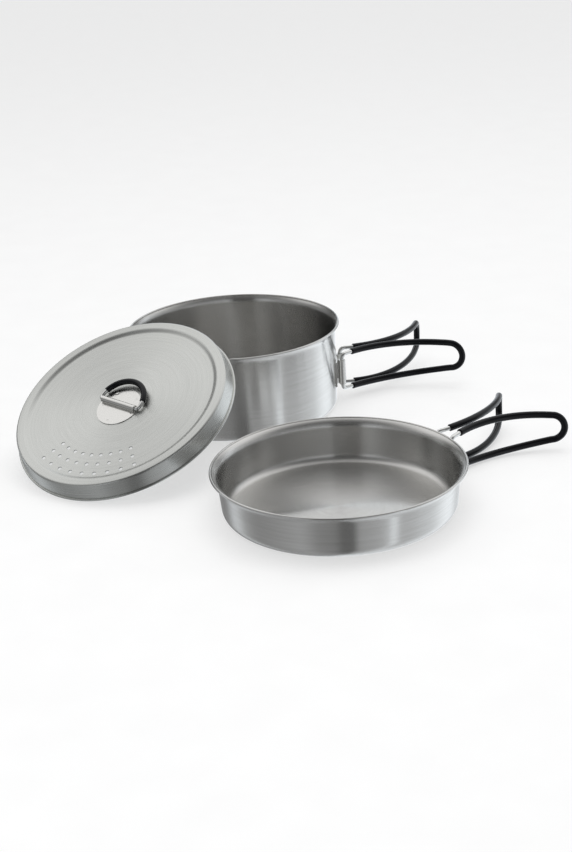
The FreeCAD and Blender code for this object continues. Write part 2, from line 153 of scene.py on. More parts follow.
def linked(name: str, data: ID) -> Object:
    """Make an object and link it to the scene.

    Args:
        name: the object's name.
        data: its mesh, camera or light.

    Returns:
        The object.
    """
    made = bpy.data.objects.new(name, data)
    bpy.context.scene.collection.objects.link(made)
    return made


def line_piece(points: list, edges: list[tuple[int, int]]) -> Object:
    """Make an object that holds only edges, for a tree to work on.

    Args:
        points: its points.
        edges: the pairs of points that are joined.

    Returns:
        The object.
    """
    mesh = bpy.data.meshes.new("line")
    mesh.from_pydata(points, edges, [])
    return linked("line", mesh)


def finished(name: str, bm: BMesh, material: Material,
             sharp: float = SMOOTH_ANGLE) -> Object:
    """Turn a bmesh into a smooth-shaded piece with its hard edges kept.

    Args:
        name: the piece's name.
        bm: the mesh, which is freed.
        material: the piece's finish.
        sharp: edges that turn by more than this stay sharp, in radians.

    Returns:
        The piece, at the origin and linked to the scene.
    """
    mesh = bpy.data.meshes.new(name)
    bmesh.ops.recalc_face_normals(bm, faces=bm.faces)
    bm.to_mesh(mesh)
    bm.free()
    mesh.shade_smooth()
    mesh.set_sharp_from_angle(angle=sharp)
    mesh.materials.append(material)
    return linked(name, mesh)


def fitted(piece: Object, body: str, slot: str, *nodes: str) -> Object:
    """Put a piece on its body in place of its CAD nodes.

    Args:
        piece: the finished piece.
        body: the CAD body that it rides on.
        slot: the record's material slot; not used.
        nodes: the CAD nodes that it stands for.

    Returns:
        The same piece.
    """
    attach(piece, body)
    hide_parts(*nodes)
    log.info("%s: %d faces on %s", piece.name, len(piece.data.polygons), body)
    return piece


# --- geometry node trees ---

class TreeMaker:
    """Builds geometry node trees with named inputs and applies them to plain meshes."""

    def __init__(self, name: str, inputs: dict[str, str]) -> None:
        """Start a tree.

        Args:
            name: the tree's name.
            inputs: each input's name and its socket type.
        """
        self.tree = bpy.data.node_groups.new(name, "GeometryNodeTree")
        interface = self.tree.interface
        interface.new_socket("Geometry", in_out="INPUT", socket_type="NodeSocketGeometry")
        self.sockets = {label: interface.new_socket(label, in_out="INPUT", socket_type=kind)
                        for label, kind in inputs.items()}
        interface.new_socket("Geometry", in_out="OUTPUT", socket_type="NodeSocketGeometry")
        self.source = self.tree.nodes.new("NodeGroupInput")
        self.sink = self.tree.nodes.new("NodeGroupOutput")

    def node(self, kind: str, settings: dict | None = None, links: dict | None = None,
             **attributes: object) -> Node:
        """Add a node to this tree."""
        return add(self.tree, kind, settings, links, **attributes)

    def close(self, geometry: NodeSocket) -> None:
        """End the tree in Realize Instances and Set Material."""
        real = self.node("GeometryNodeRealizeInstances", links={"Geometry": geometry})
        dressed = self.node("GeometryNodeSetMaterial", links={
            "Geometry": real.outputs[0], "Material": self.source.outputs["Material"]})
        self.tree.links.new(dressed.outputs[0], self.sink.inputs[0])

    def apply(self, piece: Object, values: dict) -> BMesh:
        """Run the tree on a piece, which is then removed.

        Args:
            piece: the object whose data goes in.
            values: each named input's value.

        Returns:
            The result as a plain mesh.
        """
        modifier = piece.modifiers.new(self.tree.name, "NODES")
        modifier.node_group = self.tree
        for label, value in values.items():
            modifier[self.sockets[label].identifier] = value
        graph = bpy.context.evaluated_depsgraph_get()
        mesh = bpy.data.meshes.new_from_object(piece.evaluated_get(graph))
        piece.modifiers.remove(modifier)
        bm = bmesh.new()
        bm.from_mesh(mesh)
        bpy.data.objects.remove(piece)
        bpy.data.meshes.remove(mesh)
        return bm


def rod_tree() -> TreeMaker:
    """Make the tree that draws round wire along a path.

    Returns:
        A tree whose inputs are the wire's radius, the spacing of its rings and its material.
    """
    maker = TreeMaker("Drawn wire", {"Radius": "NodeSocketFloat", "Spacing": "NodeSocketFloat",
                                     "Material": "NodeSocketMaterial"})
    path = maker.node("GeometryNodeMeshToCurve", links={"Mesh": maker.source.outputs["Geometry"]})
    even = maker.node("GeometryNodeResampleCurve", links={
        "Curve": path.outputs[0], "Length": maker.source.outputs["Spacing"]}, mode="LENGTH")
    round_section = maker.node("GeometryNodeCurvePrimitiveCircle", {"Resolution": 28},
                               {"Radius": maker.source.outputs["Radius"]})
    rod = maker.node("GeometryNodeCurveToMesh", {"Fill Caps": True}, {
        "Curve": even.outputs[0], "Profile Curve": round_section.outputs[0]})
    maker.close(rod.outputs[0])
    return maker


def turning_tree() -> TreeMaker:
    """Make the tree that spins a closed outline about the Z axis, as a sheet is spun or drawn.

    The outline is swept round a circle of the outline's own offset, so its X becomes the
    radius and its Y the height. Points on the axis close up into one.

    Returns:
        A tree whose inputs are the circle's radius, the number of steps and the material.
    """
    maker = TreeMaker("Spun sheet", {"Offset": "NodeSocketFloat", "Steps": "NodeSocketInt",
                                     "Material": "NodeSocketMaterial"})
    outline = maker.node("GeometryNodeMeshToCurve",
                         links={"Mesh": maker.source.outputs["Geometry"]})
    back = maker.node("ShaderNodeMath", {1: -1.0}, {0: maker.source.outputs["Offset"]},
                      operation="MULTIPLY")
    inward = maker.node("ShaderNodeCombineXYZ", links={"X": back.outputs[0]})
    shifted = maker.node("GeometryNodeSetPosition", links={
        "Geometry": outline.outputs[0], "Offset": inward.outputs[0]})
    circle = maker.node("GeometryNodeCurvePrimitiveCircle", links={
        "Resolution": maker.source.outputs["Steps"], "Radius": maker.source.outputs["Offset"]})
    spun = maker.node("GeometryNodeCurveToMesh", links={
        "Curve": circle.outputs[0], "Profile Curve": shifted.outputs[0]})
    closed = maker.node("GeometryNodeMergeByDistance", {"Distance": WELD},
                        {"Geometry": spun.outputs[0]})
    maker.close(closed.outputs[0])
    return maker


def strainer_tree() -> TreeMaker:
    """Make the tree that punches rows of round holes along arcs in the lid's panel.

    Each hole is cut straight through, and then its upper edge is flared.

    Returns:
        A tree whose inputs are the holes' radius, their count in a row, the number of rows, the
        angle between holes, the first angle, the first row's radius, the distance between the
        rows, the height that the tools are centred on, and the material.
    """
    maker = TreeMaker("Punched strainer", {
        "Radius": "NodeSocketFloat", "Count": "NodeSocketInt", "Rows": "NodeSocketInt",
        "Pitch": "NodeSocketFloat", "Start": "NodeSocketFloat", "Inner": "NodeSocketFloat",
        "Row pitch": "NodeSocketFloat", "Level": "NodeSocketFloat",
        "Material": "NodeSocketMaterial"})
    given = maker.source.outputs
    values = {label: given[label] for label in maker.sockets}
    values["Index"] = maker.node("GeometryNodeInputIndex").outputs[0]
    for result, operation, *terms in (
            ("Holes", "MULTIPLY", "Count", "Rows"), ("Share", "DIVIDE", "Index", "Count"),
            ("Row", "FLOOR", "Share"), ("Before", "MULTIPLY", "Row", "Count"),
            ("Column", "SUBTRACT", "Index", "Before"), ("Turned", "MULTIPLY", "Column", "Pitch"),
            ("Angle", "ADD", "Start", "Turned"), ("Outward", "MULTIPLY", "Row", "Row pitch"),
            ("Reach", "ADD", "Inner", "Outward"), ("Cosine", "COSINE", "Angle"),
            ("Sine", "SINE", "Angle"), ("X", "MULTIPLY", "Reach", "Cosine"),
            ("Y", "MULTIPLY", "Reach", "Sine")):
        feeds = {at: values[term] for at, term in enumerate(terms)}
        step = maker.node("ShaderNodeMath", links=feeds, operation=operation)
        values[result] = step.outputs[0]
    points = maker.node("GeometryNodeMeshLine", links={"Count": values["Holes"]})
    spot = maker.node("ShaderNodeCombineXYZ", links={
        "X": values["X"], "Y": values["Y"], "Z": given["Level"]})
    placed = maker.node("GeometryNodeSetPosition", links={
        "Geometry": points.outputs[0], "Position": spot.outputs[0]})
    punch = maker.node("GeometryNodeMeshCylinder", {"Vertices": PUNCH_SIDES, "Depth": PUNCH_DEPTH},
                       {"Radius": given["Radius"]})
    foot, top = (maker.node("ShaderNodeMath", {1: share}, {0: given["Radius"]},
                            operation="MULTIPLY").outputs[0] for share in (FLARE_FOOT, FLARE_TOP))
    flared = maker.node("GeometryNodeMeshCone", {"Vertices": PUNCH_SIDES, "Depth": FLARE_DEPTH},
                        {"Radius Bottom": foot, "Radius Top": top})
    cut = given["Geometry"]
    for tool in (punch, flared):
        stood = maker.node("GeometryNodeInstanceOnPoints", links={
            "Points": placed.outputs[0], "Instance": tool.outputs["Mesh"]})
        tools = maker.node("GeometryNodeRealizeInstances", links={"Geometry": stood.outputs[0]})
        punched = maker.node("GeometryNodeMeshBoolean", links={
            "Mesh 1": cut, "Mesh 2": tools.outputs[0]}, operation="DIFFERENCE", solver="EXACT")
        cut = punched.outputs["Mesh"]
    maker.close(cut)
    return maker


# --- finishes ---

def grained(tree: NodeTree, grain: NodeSocket, tones: tuple[str, str],
            polish: tuple[float, float], relief: float) -> None:
    """Let a noise set a finish's colour, polish and relief.

    Args:
        tree: the material's tree.
        grain: the noise.
        tones: the colours at the noise's low and high end.
        polish: the roughness at its low and high end.
        relief: the depth of its bumps.
    """
    inputs = tree.nodes["Principled BSDF"].inputs
    tone = add(tree, "ShaderNodeMapRange", NOISE_SPAN, {"Value": grain})
    colour = add(tree, "ShaderNodeMix", {6: linear(tones[0]), 7: linear(tones[1])},
                 {"Factor": tone.outputs[0]}, data_type="RGBA")
    rough = add(tree, "ShaderNodeMapRange",
                {**NOISE_SPAN, "To Min": polish[0], "To Max": polish[1]}, {"Value": grain})
    bump = add(tree, "ShaderNodeBump", {"Strength": 1.0, "Distance": relief}, {"Height": grain})
    tree.links.new(colour.outputs[2], inputs["Base Color"])
    tree.links.new(rough.outputs[0], inputs["Roughness"])
    tree.links.new(bump.outputs[0], inputs["Normal"])


@dataclass(frozen=True)
class TurnedSteel:
    """Stainless steel sheet, spun on a lathe and brushed round its own axis.

    The brush leaves fine rings, so a light is drawn out across them: into upright bands on a
    wall and into fans on a floor. They are drawn coarser than a real brush's, so that they show.
    """

    name: str
    light: str = "D9D8D6"
    dark: str = "CFCECB"
    roughness: float = 0.23
    spread: float = 1.0
    ring: float = 0.8 * MM
    streak: float = 1.6
    groove: float = 0.00015 * MM
    unevenness: float = 0.015

    def material(self, seat: Matrix) -> Material:
        """Make the finish for a piece that was turned about an axis.

        Args:
            seat: where the piece's own frame stands, with its axis along local Z.

        Returns:
            The material.
        """
        made = bpy.data.materials.new(self.name)
        made.use_nodes = True
        tree = made.node_tree
        shader = tree.nodes["Principled BSDF"]
        place = add(tree, "ShaderNodeTexCoord")
        local = add(tree, "ShaderNodeMapping", {
            "Location": seat.translation, "Rotation": seat.to_euler()},
            {"Vector": place.outputs["Object"]}, vector_type="TEXTURE")
        split = add(tree, "ShaderNodeSeparateXYZ", links={"Vector": local.outputs[0]})
        flat = add(tree, "ShaderNodeCombineXYZ", links={"X": split.outputs[0],
                                                        "Y": split.outputs[1]})
        reach = add(tree, "ShaderNodeVectorMath", links={0: flat.outputs[0]}, operation="LENGTH")
        around = add(tree, "ShaderNodeVectorMath", links={0: flat.outputs[0]},
                     operation="NORMALIZE")
        slow = add(tree, "ShaderNodeVectorMath", {"Scale": self.streak},
                   {0: around.outputs[0]}, operation="SCALE")
        slow_parts = add(tree, "ShaderNodeSeparateXYZ", links={"Vector": slow.outputs[0]})
        rings = add(tree, "ShaderNodeMath", {1: 1 / self.ring}, {0: reach.outputs["Value"]},
                    operation="MULTIPLY")
        rises = add(tree, "ShaderNodeMath", {1: 1 / self.ring}, {0: split.outputs[2]},
                    operation="MULTIPLY")
        grain_at = add(tree, "ShaderNodeCombineXYZ", links={
            "X": slow_parts.outputs[0], "Y": slow_parts.outputs[1], "Z": rings.outputs[0]})
        grain = add(tree, "ShaderNodeTexNoise", {"Scale": 1.0, "Detail": 4.0, "Roughness": 0.62},
                    {"Vector": grain_at.outputs[0], "W": rises.outputs[0]},
                    noise_dimensions="4D")
        grained(tree, grain.outputs[0], (self.dark, self.light),
                (self.roughness + self.unevenness, self.roughness - self.unevenness), self.groove)
        back_x = add(tree, "ShaderNodeMath", {1: -1.0}, {0: split.outputs[1]},
                     operation="MULTIPLY")
        ring_way = add(tree, "ShaderNodeCombineXYZ", links={"X": back_x.outputs[0],
                                                            "Y": split.outputs[0]})
        turned = add(tree, "ShaderNodeMapping", {"Rotation": seat.to_euler()},
                     {"Vector": ring_way.outputs[0]}, vector_type="NORMAL")
        world_way = add(tree, "ShaderNodeVectorTransform", links={"Vector": turned.outputs[0]},
                        vector_type="VECTOR", convert_from="OBJECT", convert_to="WORLD")
        shader.inputs["Metallic"].default_value = 1.0
        shader.inputs["Anisotropic"].default_value = self.spread
        shader.inputs["Anisotropic Rotation"].default_value = QUARTER_TURN
        tree.links.new(world_way.outputs[0], shader.inputs["Tangent"])
        return made


@dataclass(frozen=True)
class PlainFinish:
    """A finish with a fine even grain: pressed steel, drawn wire, rubber tubing, a backdrop."""

    name: str
    light: str
    dark: str
    metallic: float
    roughness: float
    grain: float
    relief: float
    shine: float = 0.5

    def material(self) -> Material:
        """Make the material.

        Returns:
            The material, whose noise has features as wide as the grain.
        """
        made = bpy.data.materials.new(self.name)
        made.use_nodes = True
        tree = made.node_tree
        shader = tree.nodes["Principled BSDF"]
        place = add(tree, "ShaderNodeTexCoord")
        scaled = add(tree, "ShaderNodeMapping", {"Scale": (1 / self.grain,) * 3},
                     {"Vector": place.outputs["Object"]})
        grain = add(tree, "ShaderNodeTexNoise", {"Scale": 1.0, "Detail": 3.0, "Roughness": 0.55},
                    {"Vector": scaled.outputs[0]})
        grained(tree, grain.outputs[0], (self.dark, self.light),
                tuple(self.roughness * share for share in POLISH_SPAN), self.relief)
        shader.inputs["Metallic"].default_value = self.metallic
        shader.inputs["Specular IOR Level"].default_value = self.shine
        return made


class Finish(Enum):
    """The plain finishes of the set's small pieces."""

    # Pressed stainless strip, bright from the mill: clear reflections and a faint even grain.
    STRIP = PlainFinish("Pressed stainless strip", "E4E3E0", "DAD9D6", 1.0, 0.2,
                        0.7 * MM, 0.0006 * MM)
    # Drawn stainless wire: bright, with faint die lines.
    WIRE = PlainFinish("Bright drawn stainless wire", "E8E8E6", "DCDCDA", 1.0, 0.1,
                       0.9 * MM, 0.0005 * MM)
    # Black silicone tubing: near black, a soft bluish shine and the bloom of extruded rubber.
    TUBING = PlainFinish("Black silicone tubing", "0A0B10", "06070A", 0.0, 0.19,
                         1.1 * MM, 0.0015 * MM, shine=0.27)

    @cached_property
    def material(self) -> Material:
        """The finish's material, made once."""
        return self.value.material()


# --- shapes drawn in code ---

def spun(points: list[tuple], steps: int, material: Material) -> BMesh:
    """Spin a closed outline about Z.

    Args:
        points: the outline as (radius, height), in metres.
        steps: how many steps go round.
        material: the finish that the tree sets.

    Returns:
        The closed mesh, standing on its own axis.
    """
    count = len(points)
    loop = line_piece([(across, -up, 0.0) for across, up in points],
                      [(at, (at + 1) % count) for at in range(count)])
    offset = max(across for across, _ in points)
    return TURNING.apply(loop, {"Offset": offset, "Steps": steps, "Material": material})


def through(points: list[Vector], steps: int) -> list[Vector]:
    """Draw a smooth curve through points.

    Args:
        points: the points that the curve passes.
        steps: how many pieces each stretch between two of them is drawn with.

    Returns:
        The curve's points.
    """
    ends = [2 * points[0] - points[1]] + points + [2 * points[-1] - points[-2]]
    drawn = []
    for before, start, end, after in zip(ends, ends[1:], ends[2:], ends[3:]):
        gaps = [max(math.sqrt((b - a).length), WELD)
                for a, b in ((before, start), (start, end), (end, after))]
        leaving = ((start - before) / gaps[0] - (end - before) / (gaps[0] + gaps[1])
                   + (end - start) / gaps[1]) * gaps[1]
        arriving = ((end - start) / gaps[1] - (after - start) / (gaps[1] + gaps[2])
                    + (after - end) / gaps[2]) * gaps[1]
        for step in range(steps):
            t = step / steps
            drawn.append((2 * t ** 3 - 3 * t ** 2 + 1) * start + (t ** 3 - 2 * t ** 2 + t) * leaving
                         + (3 * t ** 2 - 2 * t ** 3) * end + (t ** 3 - t ** 2) * arriving)
    return drawn + [points[-1]]


def wire_piece(name: str, path: list[Vector], radius: float, spacing: float,
               material: Material) -> Object:
    """Draw round wire along a path.

    Args:
        name: the piece's name.
        path: the wire's centre line.
        radius: the wire's radius.
        spacing: the spacing of the rings along it.
        material: its finish.

    Returns:
        The piece.
    """
    line = line_piece(path, [(at, at + 1) for at in range(len(path) - 1)])
    drawn = WIRE.apply(line, {"Radius": radius, "Spacing": spacing, "Material": material})
    return finished(name, drawn, material)


def joined(bm: BMesh, rings: list[list]) -> None:
    """Join each ring of vertices to the next with a row of faces.

    Args:
        bm: the mesh that takes the faces.
        rings: the rings, all with as many vertices.
    """
    for ring, after in zip(rings, rings[1:]):
        for side in range(len(ring)):
            other = (side + 1) % len(ring)
            bm.faces.new((ring[side], ring[other], after[other], after[side]))


def tube_rows(bm: BMesh, path: list[Vector], sides: list[Vector], outer: float,
              bore: float, lip: float, around: int = 28) -> None:
    """Add a hollow tube along a path, its ends cut square with a small rounded lip.

    Args:
        bm: the mesh that takes the tube.
        path: the tube's centre line.
        sides: for each point, a direction that is held level round the tube.
        outer: the tube's outer radius.
        bore: the radius of its bore.
        lip: how far the ends are rounded.
        around: how many sides the tube has.
    """
    last = len(path) - 1
    tangents = [(path[min(at + 1, last)] - path[max(at - 1, 0)]).normalized()
                for at in range(last + 1)]
    rounding = [(lip * (1 - math.cos(a)), lip * (1 - math.sin(a)))
                for a in (math.radians(90 / LIP_STEPS * step) for step in range(LIP_STEPS + 1))]
    rows = [(0, along, outer - inset) for along, inset in rounding]
    rows += [(at, 0.0, outer) for at in range(1, last)]
    rows += [(last, -along, outer - inset) for along, inset in reversed(rounding)]
    rows += [(last, 0.0, bore)] + [(at, 0.0, bore) for at in range(last - 1, 0, -1)]
    rows += [(0, 0.0, bore)]
    loops = []
    for at, along, radius in rows:
        across = (sides[at] - tangents[at] * sides[at].dot(tangents[at])).normalized()
        up = tangents[at].cross(across)
        centre = path[at] + tangents[at] * along
        loops.append([
            bm.verts.new(centre + radius * (across * math.cos(turn) + up * math.sin(turn)))
            for turn in turns(around)])
    joined(bm, loops + loops[:1])


def slab(bm: BMesh, corners: list[list[Vector]]) -> None:
    """Add a closed slab between two grids of points.

    Args:
        bm: the mesh that takes the slab.
        corners: two rows of columns: corners[layer][column] is a (low, high) pair of points.
    """
    grid = [[[bm.verts.new(point) for point in pair] for pair in layer] for layer in corners]
    near, far = grid
    count = len(near)
    for at in range(count - 1):
        bm.faces.new((near[at][0], near[at + 1][0], near[at + 1][1], near[at][1]))
        bm.faces.new((far[at][0], far[at][1], far[at + 1][1], far[at + 1][0]))
        for level in (0, 1):
            bm.faces.new((near[at][level], far[at][level], far[at + 1][level],
                          near[at + 1][level]))
    for at in (0, count - 1):
        bm.faces.new((near[at][0], near[at][1], far[at][1], far[at][0]))


# --- the vessels ---

@dataclass
class Vessel:
    """A deep-drawn vessel with a flat base, a flared wall and a rolled lip."""

    body: str
    seat: Matrix
    height: float
    rim_radius: float
    wall_radius: float
    foot_radius: float
    corner_radius: float
    flare_height: float
    floor_step_radius: float
    steel: TurnedSteel
    sheet: float = 0.8 * MM
    lip_radius: float = 0.95 * MM
    floor_step: float = 0.4 * MM
    roll_ends: tuple[float, float] = (-55, 215)
    steps: int = 320

    def outline(self) -> list[tuple]:
        """Draw the section of the shell as a closed outline of (radius, height).

        Returns:
            The outline's points, in order.
        """
        bead = (self.rim_radius - self.lip_radius, self.height - self.lip_radius)
        base = self.height - self.flare_height
        run = bead[0] + self.sheet / 2 - self.wall_radius
        rise = bead[1] - base
        flare = (run ** 2 + rise ** 2) / (2 * run)
        turn = math.degrees(math.asin(rise / flare))
        centre = (self.wall_radius + flare, base)
        knee = (self.foot_radius - self.corner_radius, self.corner_radius)
        outside = [(0.0, 0.0)] + arc(knee, self.corner_radius, -90, 0, CORNER_STEPS)
        outside += [point for point in arc(centre, flare, 180, 180 - turn, FLARE_STEPS)
                    if math.dist(point, bead) > self.lip_radius]
        roll = arc(bead, self.lip_radius, *self.roll_ends, 22)
        inside = [point
                  for point in arc(centre, flare + self.sheet, 180 - turn, 180, FLARE_STEPS)
                  if math.dist(point, bead) > self.lip_radius]
        inside += arc(knee, self.corner_radius - self.sheet, 0, -90, CORNER_STEPS)
        floor = self.sheet + self.floor_step
        # A small eased step up to the raised middle of the floor.
        inside += arc((self.floor_step_radius + 1.2 * MM, self.sheet + 0.1 * MM), 0.1 * MM,
                      -90, -130, 2)
        inside += [(self.floor_step_radius, floor - 0.05 * MM),
                   (self.floor_step_radius - 0.3 * MM, floor), (0.0, floor)]
        return outside + roll + inside

    def build(self) -> Object:
        """Make the shell and put it in the CAD shell's place.

        Returns:
            The shell.
        """
        material = self.steel.material(self.seat)
        bm = spun(self.outline(), self.steps, material)
        bm.transform(self.seat)
        piece = finished(self.body + "_drawn_shell", bm, material)
        return fitted(piece, self.body, "steel", self.body + "_shell")


@dataclass
class WireLoop:
    """One folding handle loop: bent wire in a rubber sleeve, on an upright cylinder.

    opened is an angle in degrees. top and low are each bar's level at the hinge, its level at
    the round end and how far it swells between them.
    """

    vessel: str
    side: str
    seat: Matrix
    hinge_radius: float
    opened: float
    length: float
    top: tuple[float, float, float]
    low: tuple[float, float, float]
    hinge_spread: float = 8.8 * MM
    wire_radius: float = 1.75 * MM
    sleeve_radius: float = 2.75 * MM
    sleeve_bore: float = 1.8 * MM
    bend: float = 4.0 * MM
    pin: float = 6.0 * MM
    bare: float = 12.0 * MM

    @property
    def sign(self) -> int:
        """Which way the loop folds: -1 near, +1 far."""
        return -1 if self.side == "near" else 1

    def spot(self, run: float, level: float) -> Vector:
        """Find a place on the loop's cylinder.

        Args:
            run: how far along the loop it is from the hinge.
            level: its height.

        Returns:
            The place, in the bracket's frame.
        """
        opened, turn = math.radians(self.opened), run / self.hinge_radius
        along = Vector((math.cos(opened), self.sign * math.sin(opened), 0))
        inward = Vector((-math.sin(opened), self.sign * math.cos(opened), 0))
        place = Vector((self.hinge_radius, self.sign * self.hinge_spread, level))
        return place + self.hinge_radius * (along * math.sin(turn) + inward * (1 - math.cos(turn)))

    def bar(self, root: float, tip: float, bow: float, up: int) -> list[Vector]:
        """Draw one bar from its pin to the start of the round end.

        Args:
            root: the bar's level at the hinge.
            tip: its level at the round end.
            bow: how far it swells in the middle.
            up: +1 on the upper bar, -1 on the lower.

        Returns:
            The bar's points.
        """
        straight = self.length - self.end_radius
        pin = [self.spot(0, root - up * (self.bend + self.pin * step / PIN_STEPS))
               for step in range(PIN_STEPS, 0, -1)]
        turned = [self.spot(self.bend * (1 - math.cos(a)),
                            root - up * self.bend * (1 - math.sin(a)))
                  for a in (math.radians(90 / BEND_STEPS * step) for step in range(BEND_STEPS))]
        runs = [self.bend, (self.bend + self.bare) / 2]
        runs += [self.bare + (straight - self.bare) * step / BAR_STEPS
                 for step in range(BAR_STEPS + 1)]
        shares = [(run - self.bend) / (straight - self.bend) for run in runs]
        return pin + turned + [
            self.spot(run, root + (tip - root) * share + up * bow * 4 * share * (1 - share))
            for run, share in zip(runs, shares)]

    @property
    def end_radius(self) -> float:
        """The radius of the loop's round end."""
        return (self.top[1] - self.low[1]) / 2

    def route(self) -> list[Vector]:
        """Draw the whole centre line from the upper pin round to the lower one.

        Returns:
            The line's points.
        """
        level = (self.top[1] + self.low[1]) / 2
        straight = self.length - self.end_radius
        end = [self.spot(straight + self.end_radius * math.cos(math.radians(a)),
                         level + self.end_radius * math.sin(math.radians(a)))
               for a in range(75, -90, -15)]
        return self.bar(*self.top, 1) + end + self.bar(*self.low, -1)[::-1]

    def build(self) -> list[Object]:
        """Make the wire and its sleeve in the CAD pieces' places.

        Returns:
            The wire and the sleeve.
        """
        points = self.route()
        body = f"{self.vessel}_handle_{self.side}"
        path = through(points, CURVE_STEPS)
        placed = [self.seat @ point for point in path]
        wire = wire_piece(body + "_bent_wire", placed, self.wire_radius, HANDLE_RINGS,
                          Finish.WIRE.material)
        first = (PIN_STEPS + BEND_STEPS + BARE_POINTS) * CURVE_STEPS
        covered = path[first:len(path) - first]
        opened = math.radians(self.opened)
        axis = (Vector((self.hinge_radius, self.sign * self.hinge_spread, 0))
                + self.hinge_radius * Vector((-math.sin(opened), self.sign * math.cos(opened), 0)))
        sides = [self.seat.to_3x3() @ Vector((axis.x - point.x, axis.y - point.y, 0)).normalized()
                 for point in covered]
        bm = bmesh.new()
        tube_rows(bm, [self.seat @ point for point in covered], sides, self.sleeve_radius,
                  self.sleeve_bore, TUBE_LIP)
        sleeve = finished(body + "_tubing", bm, Finish.TUBING.material)
        return [fitted(wire, body, "wire", body + "_wire"),
                fitted(sleeve, body, "sleeve", body + "_sleeve")]


@dataclass
class Bracket:
    """The bracket of a vessel: a curved strip on the wall with two rolled knuckles."""

    vessel: Vessel
    seat: Matrix
    hinge_radius: float
    low: float
    high: float
    hinge_spread: float = 8.8 * MM
    width: float = 32.0 * MM
    strip: float = 1.0 * MM
    knuckle_radius: float = 2.9 * MM
    knuckle_bore: float = 1.82 * MM

    def wall(self, level: float) -> float:
        """Find the wall's outer radius.

        Args:
            level: the height to find it at.

        Returns:
            The radius there.
        """
        vessel = self.vessel
        share = ((level - vessel.corner_radius)
                 / (vessel.height - vessel.flare_height - vessel.corner_radius))
        return vessel.foot_radius + (vessel.wall_radius - vessel.foot_radius) * share

    def build(self) -> Object:
        """Make the bracket in the CAD bracket's place.

        Returns:
            The bracket.
        """
        bm = bmesh.new()
        half = math.asin(self.width / 2 / self.vessel.wall_radius)
        sweep = [half * (step / STRIP_STEPS - 1) for step in range(2 * STRIP_STEPS + 1)]
        slab(bm, [[[Vector(((self.wall(level) + skin) * math.cos(turn),
                            (self.wall(level) + skin) * math.sin(turn), level))
                    for level in (self.low, self.high)] for turn in sweep]
                  for skin in (0.0, self.strip)])
        for sign in (-1, 1):
            middle = sign * (self.hinge_spread - self.knuckle_radius + self.strip / 2)
            slab(bm, [[[Vector((reach, aside, level)) for level in (self.low, self.high)]
                       for reach in (self.vessel.wall_radius + self.strip / 2, self.hinge_radius)]
                      for aside in (middle - self.strip / 2, middle + self.strip / 2)])
            path = [Vector((self.hinge_radius, sign * self.hinge_spread,
                            self.low + (self.high - self.low) * step / KNUCKLE_STEPS))
                    for step in range(KNUCKLE_STEPS + 1)]
            tube_rows(bm, path, [Vector((1, 0, 0))] * len(path), self.knuckle_radius,
                      self.knuckle_bore, KNUCKLE_LIP)
        bm.transform(self.seat)
        name = self.vessel.body + "_bracket"
        piece = finished(name + "_strip", bm, Finish.STRIP.material)
        return fitted(piece, self.vessel.body, "bracket", name)


# --- the lid ---

@dataclass
class StrainerLid:
    """The leaning lid: a spun disc with a recessed panel, a bead and rows of holes."""

    seat: Matrix
    steel: TurnedSteel
    bead_outer: float = 91.5 * MM
    bead_radius: float = 0.9 * MM
    top_radius: float = 88.2 * MM
    height: float = 13.4 * MM
    edge_radius: float = 2.0 * MM
    sheet: float = 0.6 * MM
    panel_radius: float = 76.6 * MM
    panel_level: float = 11.6 * MM
    step_width: float = 5.0 * MM
    sharp: float = 11.0
    skirt_turn: float = 14
    roll_ends: tuple[float, float] = (118, -195)
    steps: int = 320
    punching: dict = field(default_factory=lambda: {
        "Radius": 1.4 * MM, "Count": 9, "Rows": 3, "Pitch": math.radians(8.43),
        "Start": math.radians(-24.7), "Inner": 55.6 * MM, "Row pitch": 9.3 * MM,
        "Level": 11.2 * MM})

    def outline(self) -> list[tuple]:
        """Draw the section of the lid as a closed outline of (radius, height).

        Returns:
            The outline's points, in order.
        """
        bead = (self.bead_outer - self.bead_radius, 0.0)
        skin, low, high = self.sheet, self.panel_level, self.height
        foot, crest = self.panel_radius, self.panel_radius + self.step_width
        edge = (self.top_radius - self.edge_radius, high - self.edge_radius)
        above = [(0.0, low)]
        above += [(foot + (crest - foot) * share,
                   low + (high - low) * (1 - math.cos(math.pi * share)) / 2)
                  for share in (step / CORNER_STEPS for step in range(CORNER_STEPS + 1))]
        above += arc(edge, self.edge_radius, 90, self.skirt_turn, EDGE_STEPS)
        roll = arc(bead, self.bead_radius, *self.roll_ends, 40)
        below = arc(edge, self.edge_radius - skin, self.skirt_turn, 90, EDGE_STEPS)
        below += [(crest, high - skin), (foot, low - skin), (0.0, low - skin)]
        return above + roll + below

    def build(self) -> Object:
        """Make the lid in the CAD lid's place.

        Returns:
            The lid.
        """
        material = self.steel.material(self.seat)
        bm = spun(self.outline(), self.steps, material)
        blank = finished("lid_blank", bm, material)
        bm = STRAINER.apply(blank, {**self.punching, "Material": material})
        bm.transform(self.seat)
        piece = finished("lid_spun_disc", bm, material, math.radians(self.sharp))
        return fitted(piece, "lid", "steel", "lid_disc")


